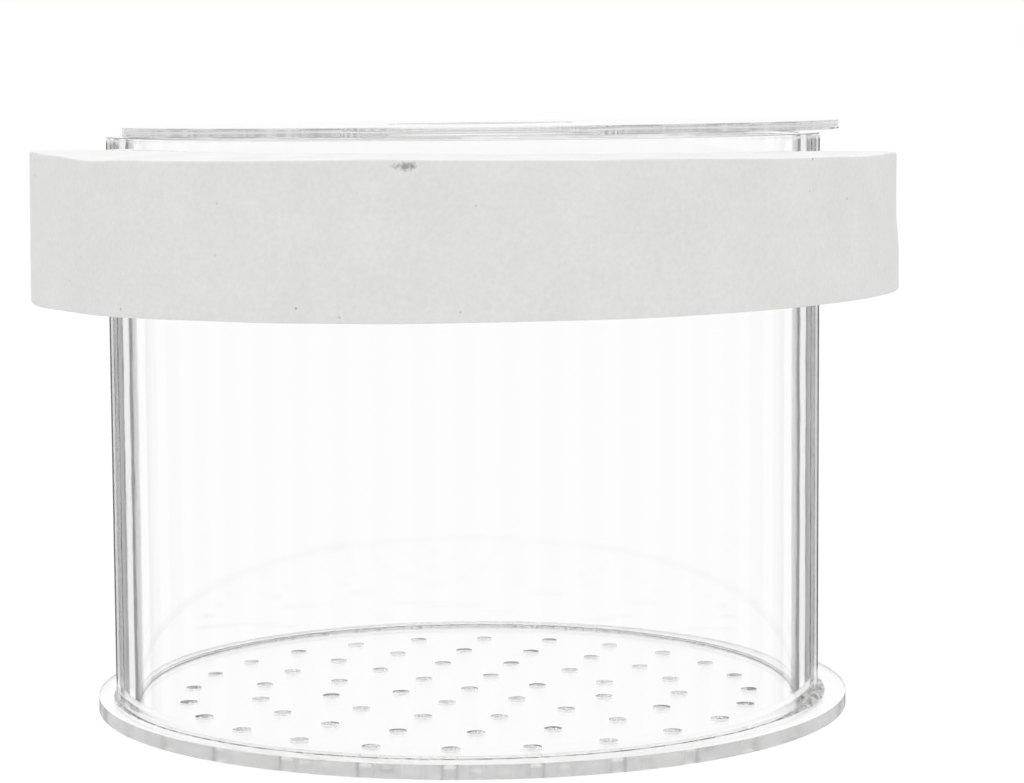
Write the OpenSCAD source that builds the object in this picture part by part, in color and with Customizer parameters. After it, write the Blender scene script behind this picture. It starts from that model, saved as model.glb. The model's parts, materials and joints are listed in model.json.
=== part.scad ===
// Floating breeding box for fish. A clear tube is cemented to a drilled base plate, a foam
// ring slides along the tube and floats it, and a loose lid with a feed hole lies on the rim.
// Millimetres, +Z up. The origin is on the tube's axis, at the underside of the base plate.

/* [Tube] */
// Outer diameter of the clear tube
tube_od = 82.5; // [60:0.5:140]
// Thickness of the tube's wall
tube_wall = 2.5; // [2:0.1:6]
// Height of the tube above the base plate
tube_h = 64.8; // [40:0.1:160]
// Rounding of the two edges of the tube's rim
rim_round = 0.6; // [0.1:0.1:0.9]

/* [Base plate] */
// Thickness of the base plate
base_t = 1.6; // [1:0.1:6]
// How far the base plate stands out past the tube
base_flange = 2.6; // [2:0.1:12]
// How far the base plate is glued to the right of the tube's axis
base_shift = 0.6; // [0:0.1:0.8]

/* [Water holes] */
// Diameter of one water hole
hole_d = 2; // [1:0.1:3]
// Distance from one ring of holes to the next
ring_pitch = 8.2; // [6:0.1:14]
// Number of holes that each ring has more than the ring inside it
holes_per_step = 6; // [4:1:8]
// Least distance from the tube's inner wall to the centres of the outer holes
hole_margin = 3.2; // [3:0.1:12]
// Turn of the first hole of every ring, counted from the right
pattern_turn = 11.5; // [0:0.5:60]
// How far the pattern's middle is drilled in front of the plate's middle
pattern_front = 2.2; // [0:0.1:3]
// How far the pattern's middle is drilled to the left of the plate's middle
pattern_left = 0.4; // [0:0.1:1]

/* [Cement] */
// Leg of the cement fillet round the outside of the tube's foot
bead_out = 0.9; // [0.3:0.1:1]
// Leg of the cement fillet round the inside of the tube's foot
bead_in = 0.7; // [0.3:0.1:1.2]
// Thickness of the blunt toes of both fillets
bead_toe = 0.1; // [0.05:0.05:0.2]

/* [Float] */
// Width of the foam ring, from its bore to its outside
float_wall = 8.65; // [5:0.05:25]
// Height of the foam ring
float_h = 16.4; // [8:0.1:30]
// Distance from the tube's rim down to the top of the foam ring
float_drop = 1.9; // [0.5:0.1:8]
// Radial clearance between the foam ring and the tube
float_fit = 0.1; // [0.05:0.01:0.1]
// Rounding of the foam ring's four edges
float_edge = 0.5; // [0.2:0.1:2]

/* [Lid] */
// Thickness of the lid
lid_t = 1; // [0.8:0.1:4]
// How far the lid is wider than the tube, on the radius
lid_over = 0.15; // [0:0.05:4]
// How far the lid lies to the right of the tube's axis
lid_shift = 2; // [0:0.1:2]
// Diameter of the feed hole in the middle of the lid
feed_hole_d = 22; // [8:0.5:40]

/* [Hidden] */
$fn = 128;

tube_r = tube_od / 2;
bore_r = tube_r - tube_wall;
rim_z = base_t + tube_h;
base_r = tube_r + base_flange;
pattern_at = [base_shift - pattern_left, -pattern_front];
hole_rings = floor((bore_r - hole_margin - norm(pattern_at)) / ring_pitch);
float_bore_r = tube_r + float_fit;
float_z = rim_z - float_drop - float_h;
lid_r = tube_r + lid_over;

CLEAR = [0.85, 0.92, 0.92, 0.35];
CEMENT = [0.78, 0.82, 0.84, 0.6];
FOAM = [0.88, 0.88, 0.87];

// Rectangle of w by h from the origin, with its four corners rounded by r
module rounded_rectangle(w, h, r) {
    translate([r, 0]) square([w - 2 * r, h]);
    translate([0, r]) square([w, h - 2 * r]);
    for (x = [r, w - r], y = [r, h - r])
        translate([x, y]) circle(r);
}

// Flat fillet in the corner at the origin, with legs along +X and +Y and blunt toes
module fillet(leg) {
    polygon([[0, 0], [leg, 0], [leg, bead_toe], [bead_toe, leg], [0, leg]]);
}

// One ring of the hole pattern; the ring of index 0 is the centre hole
module hole_ring(index) {
    count = max(1, index * holes_per_step);
    for (i = [0 : count - 1])
        rotate(pattern_turn + i * 360 / count)
            translate([index * ring_pitch, 0])
                circle(d = hole_d);
}

// Clear tube with a rounded rim and a square foot
module tube() {
    color(CLEAR)
        rotate_extrude()
            translate([bore_r, base_t]) {
                rounded_rectangle(tube_wall, tube_h, rim_round);
                square([tube_wall, tube_h / 2]);
            }
}

// Round plate under the tube, drilled in rings so that water goes through
module base_plate() {
    color(CLEAR)
        linear_extrude(base_t)
            difference() {
                translate([base_shift, 0]) circle(base_r);
                translate(pattern_at)
                    for (index = [0 : hole_rings]) hole_ring(index);
            }
}

// Cement squeezed out of the joint, as one fillet on each side of the tube's wall
module cement_bead() {
    color(CEMENT)
        rotate_extrude() {
            translate([tube_r, base_t]) fillet(bead_out);
            translate([bore_r, base_t]) mirror([1, 0]) fillet(bead_in);
        }
}

// Foam ring that grips the tube and can be slid along it
module foam_float() {
    color(FOAM)
        rotate_extrude()
            translate([float_bore_r, float_z])
                rounded_rectangle(float_wall, float_h, float_edge);
}

// Flat lid that lies loose on the rim, with the feed hole in its middle
module lid() {
    color(CLEAR)
        translate([lid_shift, 0, rim_z])
            linear_extrude(lid_t)
                difference() {
                    circle(lid_r);
                    circle(d = feed_hole_d);
                }
}

tube();
base_plate();
cement_bead();
foam_float();
lid();
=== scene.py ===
"""Looks of a floating breeding box for fish: clear acrylic tube, drilled base plate, foam ring, lid."""

import json
import math

import bmesh
import bpy
from mathutils import Matrix, Vector, noise


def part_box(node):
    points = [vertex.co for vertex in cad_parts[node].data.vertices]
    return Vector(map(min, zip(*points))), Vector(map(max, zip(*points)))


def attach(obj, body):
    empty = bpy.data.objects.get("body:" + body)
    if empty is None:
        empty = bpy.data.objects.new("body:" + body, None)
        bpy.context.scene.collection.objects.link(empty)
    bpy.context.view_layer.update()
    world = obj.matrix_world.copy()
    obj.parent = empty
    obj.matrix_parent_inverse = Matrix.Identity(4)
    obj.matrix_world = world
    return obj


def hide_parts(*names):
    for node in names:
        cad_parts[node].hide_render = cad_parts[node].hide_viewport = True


MM = 0.001
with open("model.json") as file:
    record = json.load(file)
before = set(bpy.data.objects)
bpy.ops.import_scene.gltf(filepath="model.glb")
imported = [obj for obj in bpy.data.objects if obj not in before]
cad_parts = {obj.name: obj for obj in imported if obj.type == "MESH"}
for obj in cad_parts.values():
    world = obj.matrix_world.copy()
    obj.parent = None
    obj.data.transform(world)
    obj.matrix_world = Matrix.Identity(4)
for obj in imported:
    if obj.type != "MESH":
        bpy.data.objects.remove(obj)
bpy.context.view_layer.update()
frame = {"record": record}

# Sizes read from the frame, in millimetres


def node_box(node):
    """Lowest and highest corner of a CAD node, in millimetres."""
    low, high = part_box(node)
    return low / MM, high / MM


TUBE_HIGH = node_box("tube")[1]
BASE_LOW, BASE_HIGH = node_box("base_plate")
FOAM_LOW, FOAM_HIGH = node_box("foam_float")
LID_LOW, LID_HIGH = node_box("lid")
FEED_HOLE = next(m for m in frame["record"]["mounts"] if m["name"] == "feed_hole")

TUBE_R = TUBE_HIGH.x
TUBE_WALL = 2.5
BORE_R = TUBE_R - TUBE_WALL
BASE_T = BASE_HIGH.z
BASE_R = (BASE_HIGH.x - BASE_LOW.x) / 2
BASE_SHIFT = (BASE_HIGH.x + BASE_LOW.x) / 2
FOAM_R = FOAM_HIGH.x
LID_R = (LID_HIGH.x - LID_LOW.x) / 2
LID_SHIFT = (LID_HIGH.x + LID_LOW.x) / 2
LID_T = LID_HIGH.z - LID_LOW.z
FEED_R = FEED_HOLE["dims"]["r_mm"]

# Water holes: one in the middle, then rings of 6, 12, 18 and 24
HOLE_R = 1.0
HOLE_PITCH = 8.2
HOLES_PER_STEP = 6
HOLE_RINGS = 4
PATTERN_TURN = math.radians(11.5)
PATTERN_CENTRE = Vector((0.2, -2.2, 0))

# Glued faces sink into each other by this much, so that light crosses them as in one block
WELD = 0.03
AROUND = 256
# Edges that turn by more than this stay sharp
SHARP = math.radians(35)
# How finely the water holes, the cement and the foam are stepped round
HOLE_STEPS = 24
CEMENT_OUT_STEPS = 720
CEMENT_IN_STEPS = 360
FOAM_STEPS = 480

# Dark cards stand in an even ring round the box, below eye level: card, gap, card, gap
CARDS = 26
# A card's share of card and gap, how light it is, and the share over which its side fades
CARD_SHARE = 0.55
CARD_LEVEL = 0.02
CARD_BLUR = 0.05


# Camera


def add_camera():
    """A long lens a little above the lid's height, turned slightly right, down and clockwise."""
    at = Vector((0.0, -352.7, 71.04)) * MM
    turn = Matrix.Rotation(math.radians(-0.8857), 4, "Z")
    tilt = Matrix.Rotation(math.radians(90 - 5.6325), 4, "X")
    roll = Matrix.Rotation(math.radians(-0.3621), 4, "Z")
    data = bpy.data.cameras.new("camera")
    data.sensor_fit = "HORIZONTAL"
    data.sensor_width = 36
    data.lens = 106.23
    camera = bpy.data.objects.new("camera", data)
    camera.matrix_world = Matrix.Translation(at) @ turn @ tilt @ roll
    bpy.context.scene.collection.objects.link(camera)
    bpy.context.scene.camera = camera


# Colours and nodes


def linear(hex_colour):
    """An sRGB hex colour such as "E0E0DE" as linear RGBA."""
    parts = [int(hex_colour[i : i + 2], 16) / 255 for i in (0, 2, 4)]
    curve = [c / 12.92 if c <= 0.04045 else ((c + 0.055) / 1.055) ** 2.4 for c in parts]
    return (*curve, 1.0)


def add_node(tree, kind, settings=None, stops=None, **sockets):
    """Adds a node with its properties, its colour stops, and its inputs set or linked.

    An input is named with _ for its spaces, or by its number after one _.
    """
    node = tree.nodes.new(kind)
    for key, value in (settings or {}).items():
        setattr(node, key, value)
    for place, colour in (stops or [])[2:]:
        node.color_ramp.elements.new(place)
    for element, (place, colour) in zip(node.color_ramp.elements if stops else [], stops or []):
        element.position = place
        element.color = (colour, colour, colour, 1) if isinstance(colour, (int, float)) else colour
    for key, value in sockets.items():
        name = key.replace("_", " ")
        socket = node.inputs[int(name[1:])] if name[1:].isdigit() else node.inputs[name]
        if isinstance(value, bpy.types.NodeSocket):
            tree.links.new(value, socket)
        else:
            socket.default_value = value
    return node


def new_material(name, **sockets):
    """A material with one Principled shader; returns the material, its tree and the shader."""
    material = bpy.data.materials.new(name)
    material.use_nodes = True
    tree = material.node_tree
    tree.nodes.clear()
    shader = add_node(tree, "ShaderNodeBsdfPrincipled", **sockets)
    add_node(tree, "ShaderNodeOutputMaterial", Surface=shader.outputs["BSDF"])
    return material, tree, shader


# Materials


def extruded_acrylic():
    """Extruded acrylic tube: water clear and glossy, with faint draw lines along its length."""
    material, tree, shader = new_material(
        "extruded_acrylic",
        Base_Color=linear("FEFEFE"),
        Roughness=0.0,
        IOR=1.49,
        Transmission_Weight=1.0,
    )
    # Draw lines are 2 to 3 mm apart and four times as long, a few thousandths deep
    place = add_node(tree, "ShaderNodeTexCoord").outputs["Object"]
    along = add_node(tree, "ShaderNodeMapping", Vector=place, Scale=(1, 1, 0.25)).outputs["Vector"]
    lines = add_node(
        tree, "ShaderNodeTexNoise", Vector=along, Scale=400.0, Detail=4.0, Roughness=0.55
    )
    bump = add_node(
        tree, "ShaderNodeBump", Strength=1.0, Distance=0.000004, Height=lines.outputs["Fac"]
    )
    tree.links.new(bump.outputs["Normal"], shader.inputs["Normal"])
    return material


def cast_acrylic():
    """Cast acrylic sheet: water clear with a polished face, very slightly uneven."""
    material, tree, shader = new_material(
        "cast_acrylic",
        Base_Color=linear("FDFDFD"),
        Roughness=0.0,
        IOR=1.49,
        Transmission_Weight=1.0,
    )
    # The sheet's face rolls by a thousandth or two over about 8 mm
    place = add_node(tree, "ShaderNodeTexCoord").outputs["Object"]
    roll = add_node(tree, "ShaderNodeTexNoise", Vector=place, Scale=120.0, Detail=1.0)
    bump = add_node(
        tree, "ShaderNodeBump", Strength=1.0, Distance=0.000002, Height=roll.outputs["Fac"]
    )
    tree.links.new(bump.outputs["Normal"], shader.inputs["Normal"])
    return material


def thin_cast_acrylic():
    """Thin cast acrylic sheet of the lid: water clear and flat, with the faintest grey haze."""
    material, tree, shader = new_material(
        "thin_cast_acrylic", Roughness=0.0, IOR=1.49, Transmission_Weight=1.0
    )
    # Haze comes and goes over about 10 mm
    place = add_node(tree, "ShaderNodeTexCoord").outputs["Object"]
    haze = add_node(tree, "ShaderNodeTexNoise", Vector=place, Scale=100.0, Detail=2.0)
    colour = add_node(
        tree,
        "ShaderNodeValToRGB",
        stops=[(0.3, linear("F9FAF9")), (0.7, linear("FDFEFD"))],
        Fac=haze.outputs["Fac"],
    )
    tree.links.new(colour.outputs["Color"], shader.inputs["Base Color"])
    return material


def laser_cut_edge():
    """Edge of the lid, cut by laser: nearly clear and glossy, with a faint veil."""
    material, tree, shader = new_material(
        "laser_cut_edge",
        Roughness=0.0,
        IOR=1.49,
        Transmission_Weight=0.82,
    )
    # The beam's pulses leave upright lines about 0.3 mm apart
    place = add_node(tree, "ShaderNodeTexCoord").outputs["Object"]
    upright = add_node(tree, "ShaderNodeMapping", Vector=place, Scale=(1, 1, 0.04))
    lines = add_node(
        tree, "ShaderNodeTexNoise", Vector=upright.outputs["Vector"], Scale=3000.0, Detail=1.0
    )
    colour = add_node(
        tree,
        "ShaderNodeValToRGB",
        stops=[(0.3, linear("E2E3E2")), (0.7, linear("EAEBEA"))],
        Fac=lines.outputs["Fac"],
    )
    bump = add_node(
        tree, "ShaderNodeBump", Strength=0.03, Distance=0.00001, Height=lines.outputs["Fac"]
    )
    tree.links.new(colour.outputs["Color"], shader.inputs["Base Color"])
    tree.links.new(bump.outputs["Normal"], shader.inputs["Normal"])
    return material


def sanded_edge():
    """Edge of the base plate, laser cut and sanded: satin, an even light grey band."""
    material, tree, shader = new_material(
        "sanded_edge",
        Roughness=0.2,
        IOR=1.49,
        Transmission_Weight=0.75,
    )
    # The beam's upright lines are about 0.4 mm apart, and the sanding has softened them
    place = add_node(tree, "ShaderNodeTexCoord").outputs["Object"]
    upright = add_node(tree, "ShaderNodeMapping", Vector=place, Scale=(1, 1, 0.05))
    lines = add_node(
        tree, "ShaderNodeTexNoise", Vector=upright.outputs["Vector"], Scale=2400.0, Detail=1.0
    )
    colour = add_node(
        tree,
        "ShaderNodeValToRGB",
        stops=[(0.3, linear("DDDEDD")), (0.7, linear("E5E6E5"))],
        Fac=lines.outputs["Fac"],
    )
    bump = add_node(
        tree, "ShaderNodeBump", Strength=0.4, Distance=0.00001, Height=lines.outputs["Fac"]
    )
    tree.links.new(colour.outputs["Color"], shader.inputs["Base Color"])
    tree.links.new(bump.outputs["Normal"], shader.inputs["Normal"])
    return material


def drilled_wall():
    """Wall of a drilled water hole: nearly clear, with a grey band of painted shade at its mouth that
    differs from hole to hole.
    """
    material, tree, shader = new_material(
        "drilled_wall",
        Roughness=0.15,
        IOR=1.49,
        Transmission_Weight=0.95,
    )
    place = add_node(tree, "ShaderNodeTexCoord").outputs["Object"]
    height = add_node(tree, "ShaderNodeSeparateXYZ", Vector=place).outputs["Z"]
    # The painted shade's depth changes over 4 mm, so by half or more between neighbouring holes
    patches = add_node(tree, "ShaderNodeTexNoise", Vector=place, Scale=250.0, Detail=3.0)
    deeper = add_node(
        tree,
        "ShaderNodeMath",
        {"operation": "MULTIPLY_ADD"},
        _0=patches.outputs["Fac"],
        _1=0.6,
        _2=-0.33,
    )
    share = add_node(
        tree,
        "ShaderNodeMath",
        {"operation": "MULTIPLY_ADD"},
        _0=height,
        _1=1 / (BASE_T * MM),
        _2=deeper.outputs["Value"],
    )
    # The grey is painted shade across the top of the wall, the dark line at the hole's mouth
    clear, grey = linear("F9F9F8"), linear("6E6F6C")
    colour = add_node(
        tree,
        "ShaderNodeValToRGB",
        stops=[(0.91, clear), (0.94, grey)],
        Fac=share.outputs["Value"],
    )
    tree.links.new(colour.outputs["Color"], shader.inputs["Base Color"])
    return material


def set_cement():
    """Acrylic cement that has set: clear to milky, with thin grey swirls of painted shade and a rippled
    surface.
    """
    material, tree, shader = new_material(
        "set_cement",
        Roughness=0.03,
        IOR=1.47,
        Transmission_Weight=0.7,
    )
    # Swirls of painted shade, standing for the dark in the cement's creases, are drawn out from blots
    # about 1 mm wide
    place = add_node(tree, "ShaderNodeTexCoord").outputs["Object"]
    swirl_shade = add_node(
        tree,
        "ShaderNodeTexNoise",
        Vector=place,
        Scale=750.0,
        Detail=2.0,
        Roughness=0.5,
        Distortion=1.2,
    )
    colour = add_node(
        tree,
        "ShaderNodeValToRGB",
        stops=[
            (0.0, linear("FAFAF9")),
            (0.5, linear("F6F7F5")),
            (0.55, linear("8E8F8B")),
            (0.6, linear("F6F7F5")),
        ],
        Fac=swirl_shade.outputs["Fac"],
    )
    ripple = add_node(tree, "ShaderNodeTexNoise", Vector=place, Scale=900.0, Detail=2.0)
    bump = add_node(
        tree, "ShaderNodeBump", Strength=0.3, Distance=0.00006, Height=ripple.outputs["Fac"]
    )
    tree.links.new(colour.outputs["Color"], shader.inputs["Base Color"])
    tree.links.new(bump.outputs["Normal"], shader.inputs["Normal"])
    return material


def cement_line():
    """Where the cement ends on the clear sheet: a hairline of painted shade in grey dashes, where the
    bead's edge looks dark.
    """
    material, tree, shader = new_material(
        "cement_line",
        Roughness=0.3,
        IOR=1.47,
        Transmission_Weight=0.5,
    )
    # Dashes of painted shade about 1 mm long
    place = add_node(tree, "ShaderNodeTexCoord").outputs["Object"]
    dash_noise = add_node(
        tree, "ShaderNodeTexNoise", Vector=place, Scale=900.0, Detail=3.0, Roughness=0.6
    )
    colour = add_node(
        tree,
        "ShaderNodeValToRGB",
        stops=[(0.42, linear("F0F0EF")), (0.56, linear("9A9B98"))],
        Fac=dash_noise.outputs["Fac"],
    )
    tree.links.new(colour.outputs["Color"], shader.inputs["Base Color"])
    return material


def foam_skin():
    """Outer skin of closed-cell polyethylene foam: matt off-white, fine cells, specks, one smudge."""
    material, tree, shader = new_material(
        "foam_skin", Roughness=0.85, IOR=1.45, Specular_IOR_Level=0.25
    )
    place = add_node(tree, "ShaderNodeTexCoord").outputs["Object"]
    # Clouds 6 mm wide under cells of 0.4 mm, both only a shade apart
    cloud = add_node(tree, "ShaderNodeTexNoise", Vector=place, Scale=160.0, Detail=3.0, Roughness=0.65)
    cells = add_node(tree, "ShaderNodeTexNoise", Vector=place, Scale=1900.0, Detail=3.0, Roughness=0.6)
    shade = add_node(
        tree, "ShaderNodeMix", Factor=0.375, _2=cells.outputs["Fac"], _3=cloud.outputs["Fac"]
    )
    body = add_node(
        tree,
        "ShaderNodeValToRGB",
        stops=[(0.3, linear("DBDBD8")), (0.7, linear("E5E5E3"))],
        Fac=shade.outputs[0],
    )
    # Dark specks 0.3 mm across, about one to each square centimetre
    dots = add_node(tree, "ShaderNodeTexVoronoi", Vector=place, Scale=300.0)
    speck = add_node(
        tree,
        "ShaderNodeValToRGB",
        stops=[(0.025, 1.0), (0.055, 0.0)],
        Fac=dots.outputs["Distance"],
    )
    chosen = add_node(
        tree, "ShaderNodeValToRGB", stops=[(0.1, 0.2), (0.9, 0.9)], Fac=dots.outputs["Color"]
    )
    dark = add_node(
        tree,
        "ShaderNodeMath",
        {"operation": "MULTIPLY"},
        _0=speck.outputs["Color"],
        _1=chosen.outputs["Color"],
    )
    specked = add_node(
        tree,
        "ShaderNodeMix",
        {"data_type": "RGBA"},
        Factor=dark.outputs["Value"],
        _6=body.outputs["Color"],
        _7=linear("8E8E88"),
    )
    # One rubbed smudge, 4 mm by 1.4 mm, near the top edge at the front
    rubbed = add_node(
        tree,
        "ShaderNodeMapping",
        {"vector_type": "TEXTURE"},
        Vector=place,
        Location=(-0.0058, -0.0498, 0.06385),
        Scale=(0.0024, 0.0024, 0.0008),
    )
    patch = add_node(
        tree,
        "ShaderNodeTexGradient",
        {"gradient_type": "SPHERICAL"},
        Vector=rubbed.outputs["Vector"],
    )
    grime = add_node(tree, "ShaderNodeTexNoise", Vector=place, Scale=2600.0, Detail=2.0)
    rub = add_node(
        tree,
        "ShaderNodeMath",
        {"operation": "MULTIPLY"},
        _0=patch.outputs["Fac"],
        _1=grime.outputs["Fac"],
    )
    smudge = add_node(
        tree, "ShaderNodeValToRGB", stops=[(0.16, 0.0), (0.42, 0.75)], Fac=rub.outputs["Value"]
    )
    colour = add_node(
        tree,
        "ShaderNodeMix",
        {"data_type": "RGBA"},
        Factor=smudge.outputs["Color"],
        _6=specked.outputs[2],
        _7=linear("7E7F79"),
    )
    bump = add_node(
        tree, "ShaderNodeBump", Strength=0.35, Distance=0.00005, Height=cells.outputs["Fac"]
    )
    tree.links.new(colour.outputs[2], shader.inputs["Base Color"])
    tree.links.new(bump.outputs["Normal"], shader.inputs["Normal"])
    return material


def foam_cut():
    """Knife-cut faces of the foam: cleaner and whiter than the skin, with opened cells."""
    material, tree, shader = new_material(
        "foam_cut", Roughness=0.9, IOR=1.45, Specular_IOR_Level=0.2
    )
    place = add_node(tree, "ShaderNodeTexCoord").outputs["Object"]
    cells = add_node(tree, "ShaderNodeTexVoronoi", Vector=place, Scale=1500.0)
    cloud = add_node(tree, "ShaderNodeTexNoise", Vector=place, Scale=200.0, Detail=2.0)
    body = add_node(
        tree,
        "ShaderNodeValToRGB",
        stops=[(0.3, linear("E7E7E5")), (0.7, linear("EDEDEC"))],
        Fac=cloud.outputs["Fac"],
    )
    bump = add_node(
        tree, "ShaderNodeBump", Strength=0.4, Distance=0.00008, Height=cells.outputs["Distance"]
    )
    tree.links.new(body.outputs["Color"], shader.inputs["Base Color"])
    tree.links.new(bump.outputs["Normal"], shader.inputs["Normal"])
    return material


# Mesh helpers


def finish_mesh(bm, name, materials, body, replaced):
    """Turns a bmesh in millimetres into a piece in metres that rides on a body."""
    bmesh.ops.remove_doubles(bm, verts=bm.verts, dist=0.0005)
    bmesh.ops.recalc_face_normals(bm, faces=bm.faces)
    for face in bm.faces:
        face.smooth = True
    for edge in bm.edges:
        edge.smooth = edge.calc_face_angle() < SHARP
    bmesh.ops.scale(bm, vec=(MM, MM, MM), verts=bm.verts)
    mesh = bpy.data.meshes.new(name)
    bm.to_mesh(mesh)
    bm.free()
    for material in materials:
        mesh.materials.append(material)
    piece = bpy.data.objects.new(name, mesh)
    bpy.context.scene.collection.objects.link(piece)
    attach(piece, body)
    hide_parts(replaced)
    return piece


def arc(centre, radius, start, end, steps):
    """Points on an arc in the XZ plane, from one angle to another in degrees."""
    angles = [math.radians(start + (end - start) * i / steps) for i in range(steps + 1)]
    outs = [(radius * math.cos(a), radius * math.sin(a)) for a in angles]
    return [Vector((centre[0] + x, 0, centre[1] + z)) for x, z in outs]


def hold_flats(points):
    """The closed profile with a point near each end of its long stretches, which keeps them flat."""
    near = 0.15
    held = []
    for a, b in zip(points, points[1:] + points[:1]):
        held.append(a)
        length = (b - a).length
        if length > 4 * near:
            held.append(a.lerp(b, near / length))
            held.append(b.lerp(a, near / length))
    return held


def spin_profile(bm, points, steps=AROUND):
    """Spins a closed profile of (x, 0, z) points once round the Z axis."""
    verts = [bm.verts.new(p) for p in points]
    edges = [bm.edges.new((a, b)) for a, b in zip(verts, verts[1:] + verts[:1])]
    bmesh.ops.spin(
        bm,
        geom=verts + edges,
        cent=(0, 0, 0),
        axis=(0, 0, 1),
        angle=math.tau,
        steps=steps,
        use_merge=True,
    )


def azimuth(point):
    """Angle of a point round the Z axis in degrees: 0 at +X, -90 at the front."""
    return math.degrees(math.atan2(point.y, point.x))


def hump(value, centre, width):
    """A smooth hump of height 1 at the centre that ends a width away on both sides."""
    away = min(abs(value - centre) / width, 1)
    return (1 - away * away) ** 2


# Pieces


def build_tube(acrylic):
    """Tube with a rounded rim; its square foot sinks into the base plate by the weld."""
    rim = 0.12
    foot = BASE_T - WELD
    top = TUBE_HIGH.z
    profile = [Vector((BORE_R, 0, foot)), Vector((TUBE_R, 0, foot))]
    profile += arc((TUBE_R - rim, top - rim), rim, 0, 90, 8)
    profile += arc((BORE_R + rim, top - rim), rim, 90, 180, 8)
    bm = bmesh.new()
    spin_profile(bm, hold_flats(profile))
    return finish_mesh(bm, "tube_clear", [acrylic], "box", "tube")


def hole_centres():
    """Centres of the water holes."""
    centres = [PATTERN_CENTRE]
    for ring in range(1, HOLE_RINGS + 1):
        count = ring * HOLES_PER_STEP
        for i in range(count):
            angle = PATTERN_TURN + math.tau * i / count
            out = Vector((math.cos(angle), math.sin(angle), 0))
            centres.append(PATTERN_CENTRE + out * ring * HOLE_PITCH)
    return centres


def build_base_plate(acrylic, edge, hole_wall):
    """Round plate with drilled holes, filled between its outlines and extruded upwards."""
    bm = bmesh.new()
    middle = Vector((BASE_SHIFT, 0, 0))
    bmesh.ops.create_circle(bm, segments=AROUND, radius=BASE_R, matrix=Matrix.Translation(middle))
    for centre in hole_centres():
        place = Matrix.Translation(centre)
        bmesh.ops.create_circle(bm, segments=HOLE_STEPS, radius=HOLE_R, matrix=place)
    bmesh.ops.triangle_fill(bm, edges=bm.edges, use_beauty=True, use_dissolve=False)
    raised = bmesh.ops.extrude_face_region(bm, geom=list(bm.faces), use_keep_orig=True)
    lifted = [v for v in raised["geom"] if isinstance(v, bmesh.types.BMVert)]
    bmesh.ops.translate(bm, vec=(0, 0, BASE_T), verts=lifted)
    bm.normal_update()
    for face in bm.faces:
        if abs(face.normal.z) < 0.5:
            far = (face.calc_center_median() - middle).xy.length
            face.material_index = 1 if far > BASE_R - HOLE_R else 2
    return finish_mesh(
        bm, "base_plate_clear", [acrylic, edge, hole_wall], "box", "base_plate"
    )


def bead_reach(angle):
    """How far the squeezed-out cement reaches from the wall, in millimetres, at an azimuth."""
    # A thin line all round, with a lump at the right and a smaller one at the back left
    thin = 0.1
    right = 0.7 * hump(angle, -13, 24)
    left = 0.25 * hump(angle, -165, 18)
    turn = math.radians(angle)
    ripple = 0.02 * noise.noise(Vector((math.cos(turn), math.sin(turn), 0)) * 9)
    return thin + ripple + right + left


def build_bead(cement, line, clear):
    """Cement squeezed out of the joint: a hairline and two lumps outside, both with painted shade, and
    a fillet inside.
    """
    bm = bmesh.new()
    low = BASE_T - WELD
    # The outer fillet starts 1 mm wide, and bead_reach then scales it
    outside = [Vector((TUBE_R - WELD, 0, low))] + arc((TUBE_R, low), 1.0, 0, 90, 7)
    spin_profile(bm, outside, steps=CEMENT_OUT_STEPS)
    fillet = 0.25
    inside = [Vector((BORE_R + WELD, 0, low))] + arc((BORE_R, low), fillet, 90, 180, 4)
    spin_profile(bm, inside, steps=CEMENT_IN_STEPS)
    # A reach below this shows as a line and not as a lump
    hairline = 0.2
    for face in bm.faces:
        middle = face.calc_center_median()
        if middle.xy.length > TUBE_R:
            face.material_index = 1 if bead_reach(azimuth(middle)) < hairline else 0
        elif middle.xy.length < BORE_R:
            face.material_index = 2
    for vert in bm.verts:
        far = vert.co.xy.length
        rise = vert.co.z - low
        if far > TUBE_R - 2 * WELD:
            reach = bead_reach(azimuth(vert.co))
            reach *= 1 + 0.5 * reach * noise.noise(vert.co * 1.1)
            new_far = TUBE_R + (far - TUBE_R) * reach if far > TUBE_R else far
        else:
            # The cement ran to the back as it set, and left next to none at the front
            back = min(max((vert.co.y / far + 0.45) / 0.5, 0), 1)
            least = 0.03
            reach = least + (1 - least) * back * back * (3 - 2 * back)
            reach *= 1 + 0.12 * noise.noise(vert.co * 0.4)
            new_far = BORE_R + (far - BORE_R) * reach if far < BORE_R else far
        vert.co.x *= new_far / far
        vert.co.y *= new_far / far
        vert.co.z = low + rise * reach
    return finish_mesh(bm, "cement_squeeze_out", [cement, line, clear], "box", "cement_bead")


def build_lid(acrylic, edge):
    """Thin disc with a feed hole, touching the rim at the left and a little high at the right."""
    bm = bmesh.new()
    soft = 0.03
    profile = []
    profile += arc((LID_R - soft, soft), soft, -90, 0, 3)
    profile += arc((LID_R - soft, LID_T - soft), soft, 0, 90, 3)
    profile += arc((FEED_R + soft, LID_T - soft), soft, 90, 180, 3)
    profile += arc((FEED_R + soft, soft), soft, 180, 270, 3)
    spin_profile(bm, hold_flats(profile))
    bm.normal_update()
    for face in bm.faces:
        if abs(face.normal.z) < 0.5 and face.calc_center_median().xy.length > LID_R - LID_T:
            face.material_index = 1
    gap = 0.03
    tilt = Matrix.Rotation(math.radians(-0.3), 3, "Y")
    bmesh.ops.rotate(bm, cent=(-TUBE_R, 0, 0), matrix=tilt, verts=bm.verts)
    bmesh.ops.translate(bm, vec=(LID_SHIFT, 0, LID_LOW.z + gap), verts=bm.verts)
    return finish_mesh(bm, "lid_clear", [acrylic, edge], "lid", "lid")


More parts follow.
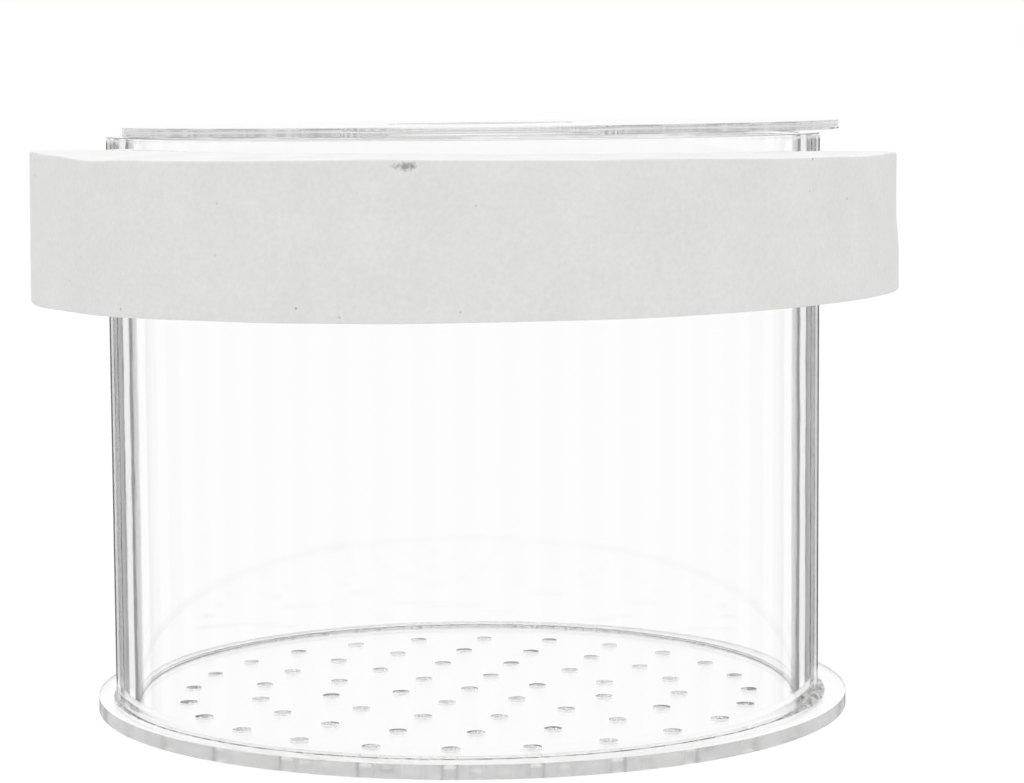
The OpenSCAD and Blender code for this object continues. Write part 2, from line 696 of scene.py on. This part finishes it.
def cut_wander(point):
    """How far the knife strayed from level along the top outer edge, in millimetres."""
    angle = azimuth(point)
    wave = 0.04 * noise.noise(point * 0.12) + 0.04 * noise.noise(point * 0.5)
    left = -0.38 * hump(angle, -133, 36) - 0.25 * hump(angle, -143, 8)
    right = 0.1 * hump(angle, -63, 11) - 0.06 * hump(angle, -46, 9)
    end = -0.1 * hump(angle, -30, 7) + 0.12 * hump(angle, -17, 8)
    return wave + left + right + end


def build_foam(skin, cut):
    """Knife-cut foam ring: taller at the left, flared low at the right, hanging low at the back."""
    low, high = FOAM_LOW.z, FOAM_HIGH.z
    inner = TUBE_R + 0.1
    width = FOAM_R - inner
    soft = 0.2
    rows = 26
    row_height = (high - low - 2 * soft) / rows
    side = [Vector((FOAM_R, 0, low + soft + row_height * i)) for i in range(1, rows)]
    profile = []
    profile += arc((FOAM_R - soft, low + soft), soft, -90, 0, 5)
    profile += side
    profile += arc((FOAM_R - soft, high - soft), soft, 0, 90, 5)
    across = (0.25, 0.45, 0.65, 0.85)
    profile += [Vector((inner + width * s, 0, high)) for s in reversed(across)]
    profile += arc((inner + soft, high - soft), soft, 90, 180, 4)
    profile += arc((inner + soft, low + soft), soft, 180, 270, 4)
    profile += [Vector((inner + width * s, 0, low)) for s in across]
    bm = bmesh.new()
    spin_profile(bm, profile, steps=FOAM_STEPS)
    for face in bm.faces:
        centre = face.calc_center_median()
        face.material_index = 0 if centre.xy.length > FOAM_R - 0.6 * soft else 1
    middle = (low + high) / 2
    for vert in bm.verts:
        point = vert.co.copy()
        angle = azimuth(point)
        tall = (point.z - middle) / (high - middle)
        outside = max(0.0, (point.xy.length - inner) / width)
        wedge = -0.4 * point.x / FOAM_R * tall
        sag = (1.5 + 0.5 * tall) * max(point.y / FOAM_R, 0) ** 1.4
        # The flare begins 7.5 mm below the top and is full 4 mm lower
        flare = 0.32 * hump(angle, 0, 50) * min(max((high - 7.5 - point.z) / 4, 0), 1)
        flare -= 0.08 * hump(abs(angle), 180, 50) * tall
        crease = 0.12 * hump(point.z, low + 0.75, 0.35) * hump(angle, -82, 11)
        slack = 0.05 * noise.noise(point * 0.15) + 0.03 * noise.noise(point * 0.6)
        grow = (flare - crease + slack) * outside
        vert.co.x += point.x / point.xy.length * grow
        vert.co.y += point.y / point.xy.length * grow
        vert.co.z += wedge - sag
        if tall > 0.9:
            raised = 0.38 * min(max(-2 * point.y / FOAM_R, 0), 1)
            vert.co.z += (cut_wander(point) - 0.05) * outside + raised * (1 - outside)
        if tall < -0.9:
            vert.co.z += 0.12 * noise.noise(point * 0.08) * outside
    piece = finish_mesh(bm, "foam_ring", [skin, cut], "float", "foam_float")
    return piece


# Surroundings


def add_world():
    """White all round; cards and a cloth show only through or in the acrylic and draw its edges."""
    world = bpy.data.worlds.new("studio")
    bpy.context.scene.world = world
    world.use_nodes = True
    tree = world.node_tree
    tree.nodes.clear()
    path = add_node(tree, "ShaderNodeLightPath")
    way = add_node(tree, "ShaderNodeTexCoord").outputs["Generated"]
    axes = add_node(tree, "ShaderNodeSeparateXYZ", Vector=way)
    azimuth_out = add_node(
        tree, "ShaderNodeMath", {"operation": "ARCTAN2"}, _0=axes.outputs["X"], _1=axes.outputs["Y"]
    ).outputs["Value"]
    # Light mirrored off the outside of the tube: glossy, from behind, and through nothing yet
    glossy_back = add_node(
        tree,
        "ShaderNodeMath",
        {"operation": "MULTIPLY"},
        _0=path.outputs["Is Glossy Ray"],
        _1=axes.outputs["Y"],
    )
    untouched = add_node(
        tree,
        "ShaderNodeMath",
        {"operation": "SUBTRACT"},
        _0=glossy_back.outputs["Value"],
        _1=path.outputs["Transmission Depth"],
    )
    mirrored = add_node(
        tree, "ShaderNodeMath", {"operation": "GREATER_THAN"}, _0=untouched.outputs["Value"], _1=0.8
    ).outputs["Value"]
    place = add_node(
        tree,
        "ShaderNodeMath",
        {"operation": "MULTIPLY_ADD"},
        _0=azimuth_out,
        _1=CARDS / math.tau,
        _2=0.5,
    )
    phase = add_node(tree, "ShaderNodeMath", {"operation": "FRACT"}, _0=place.outputs["Value"])
    card_start, card_end = 0.5 - CARD_SHARE / 2, 0.5 + CARD_SHARE / 2
    low_cards = add_node(
        tree,
        "ShaderNodeValToRGB",
        stops=[
            (card_start - CARD_BLUR, 1.0),
            (card_start + CARD_BLUR, CARD_LEVEL),
            (card_end - CARD_BLUR, CARD_LEVEL),
            (card_end + CARD_BLUR, 1.0),
        ],
        Fac=phase.outputs["Value"],
    )
    # A grey cloth at eye level hangs in folds 1 to 3 degrees wide
    folds = add_node(
        tree,
        "ShaderNodeTexNoise",
        {"noise_dimensions": "1D"},
        W=azimuth_out,
        Scale=20.0,
        Detail=3.0,
        Roughness=0.7,
    )
    cloth = add_node(
        tree, "ShaderNodeValToRGB", stops=[(0.3, 0.45), (0.7, 0.95)], Fac=folds.outputs["Fac"]
    )
    # Upward share of the direction, from -0.3 to 0.1
    rise = add_node(
        tree, "ShaderNodeMath", {"operation": "MULTIPLY_ADD"}, _0=axes.outputs["Z"], _1=2.5, _2=0.75
    )
    low_window = add_node(
        tree,
        "ShaderNodeValToRGB",
        stops=[(0.205, 0.0), (0.233, 1.0), (0.711, 1.0), (0.712, 0.0)],
        Fac=rise.outputs["Value"],
    )
    eye_window = add_node(
        tree,
        "ShaderNodeValToRGB",
        stops=[(0.712, 0.0), (0.713, 1.0), (0.82, 1.0), (0.83, 0.0)],
        Fac=rise.outputs["Value"],
    )
    # Cards beside and in front of the box are faint. Only light that turned back inside a wall
    # shows them, and what crosses both walls, or the lid and a wall, misses them all
    behind = add_node(
        tree,
        "ShaderNodeMapRange",
        Value=axes.outputs["Y"],
        From_Min=0.55,
        From_Max=0.68,
        To_Min=0.25,
        To_Max=1.0,
    )
    one_wall = add_node(
        tree,
        "ShaderNodeMath",
        {"operation": "LESS_THAN"},
        _0=path.outputs["Transmission Depth"],
        _1=3.5,
    )
    turned_back = add_node(
        tree,
        "ShaderNodeMath",
        {"operation": "MINIMUM"},
        _0=path.outputs["Is Transmission Ray"],
        _1=path.outputs["Glossy Depth"],
    )
    shown = add_node(
        tree,
        "ShaderNodeMath",
        {"operation": "MAXIMUM"},
        _0=turned_back.outputs["Value"],
        _1=mirrored,
    )
    low_share = add_node(
        tree,
        "ShaderNodeMath",
        {"operation": "MULTIPLY"},
        _0=low_window.outputs["Color"],
        _1=behind.outputs["Result"],
    )
    low_seen = add_node(
        tree,
        "ShaderNodeMath",
        {"operation": "MULTIPLY"},
        _0=one_wall.outputs["Value"],
        _1=shown.outputs["Value"],
    )
    low_factor = add_node(
        tree,
        "ShaderNodeMath",
        {"operation": "MULTIPLY"},
        _0=low_share.outputs["Value"],
        _1=low_seen.outputs["Value"],
    )
    eye_factor = add_node(
        tree,
        "ShaderNodeMath",
        {"operation": "MULTIPLY"},
        _0=eye_window.outputs["Color"],
        _1=path.outputs["Is Transmission Ray"],
    )
    low_mix = add_node(
        tree,
        "ShaderNodeMix",
        {"data_type": "RGBA"},
        Factor=low_factor.outputs["Value"],
        _6=(1, 1, 1, 1),
        _7=low_cards.outputs["Color"],
    )
    seen = add_node(
        tree,
        "ShaderNodeMix",
        {"data_type": "RGBA"},
        Factor=eye_factor.outputs["Value"],
        _6=low_mix.outputs[2],
        _7=cloth.outputs["Color"],
    )
    # The cards don't light the foam, not even through the acrylic
    clear_ray = add_node(
        tree,
        "ShaderNodeMath",
        {"operation": "MAXIMUM"},
        _0=path.outputs["Is Glossy Ray"],
        _1=path.outputs["Is Transmission Ray"],
    )
    looking_ray = add_node(
        tree,
        "ShaderNodeMath",
        {"operation": "MAXIMUM"},
        _0=clear_ray.outputs["Value"],
        _1=path.outputs["Is Camera Ray"],
    )
    plain_ray = add_node(
        tree,
        "ShaderNodeMath",
        {"operation": "GREATER_THAN"},
        _0=looking_ray.outputs["Value"],
        _1=path.outputs["Diffuse Depth"],
    )
    ambient = add_node(tree, "ShaderNodeBackground", Color=(1, 1, 1, 1), Strength=0.92)
    backdrop = add_node(tree, "ShaderNodeBackground", Color=seen.outputs[2], Strength=1.0)
    both = add_node(
        tree,
        "ShaderNodeMixShader",
        Fac=plain_ray.outputs["Value"],
        _1=ambient.outputs["Background"],
        _2=backdrop.outputs["Background"],
    )
    add_node(tree, "ShaderNodeOutputWorld", Surface=both.outputs["Shader"])


def add_floor():
    """Pale floor under the box, nearly white to the camera, with the box's faint shadow."""
    bm = bmesh.new()
    bmesh.ops.create_circle(bm, cap_ends=True, segments=64, radius=4.0)
    bmesh.ops.translate(bm, vec=(0, 0, -0.05 * MM), verts=bm.verts)
    mesh = bpy.data.meshes.new("floor")
    bm.to_mesh(mesh)
    bm.free()
    floor = bpy.data.objects.new("floor", mesh)
    bpy.context.scene.collection.objects.link(floor)
    material = bpy.data.materials.new("floor_white")
    material.use_nodes = True
    tree = material.node_tree
    tree.nodes.clear()
    path = add_node(tree, "ShaderNodeLightPath")
    diffuse = add_node(tree, "ShaderNodeBsdfDiffuse", Color=linear("F4F4F4"))
    glow = add_node(tree, "ShaderNodeEmission", Color=(1, 1, 1, 1), Strength=1.04)
    share = add_node(
        tree, "ShaderNodeMath", {"operation": "MULTIPLY"}, _0=path.outputs["Is Camera Ray"], _1=0.9
    )
    mix = add_node(
        tree,
        "ShaderNodeMixShader",
        Fac=share.outputs["Value"],
        _1=diffuse.outputs["BSDF"],
        _2=glow.outputs["Emission"],
    )
    add_node(tree, "ShaderNodeOutputMaterial", Surface=mix.outputs["Shader"])
    mesh.materials.append(material)
    floor.visible_transmission = False
    floor.visible_glossy = False


def add_lamp(name, at, size, power):
    """A square soft lamp at a place in metres, aimed at the middle of the box."""
    data = bpy.data.lights.new(name, "AREA")
    data.size = size
    data.energy = power
    lamp = bpy.data.objects.new(name, data)
    lamp.location = at
    aim = Vector((0, 0, 0.035)) - Vector(at)
    lamp.rotation_euler = aim.to_track_quat("-Z", "Y").to_euler()
    bpy.context.scene.collection.objects.link(lamp)


def main():
    add_camera()
    build_tube(extruded_acrylic())
    sheet = cast_acrylic()
    build_base_plate(sheet, sanded_edge(), drilled_wall())
    build_bead(set_cement(), cement_line(), sheet)
    build_lid(thin_cast_acrylic(), laser_cut_edge())
    build_foam(foam_skin(), foam_cut())
    add_world()
    add_floor()
    add_lamp("overhead", (0.0, -0.1, 0.9), 0.8, 2.0)
    scene = bpy.context.scene
    scene.view_settings.view_transform = "Standard"
    # Light that enters the base plate climbs the tube's wall in about 25 bounces before it leaves
    scene.cycles.max_bounces = 40
    scene.cycles.glossy_bounces = 32
    scene.cycles.transmission_bounces = 20
    # Unfiltered, so that light crosses the acrylic at full strength and the foam's bore is bright
    scene.cycles.blur_glossy = 0.0


main()
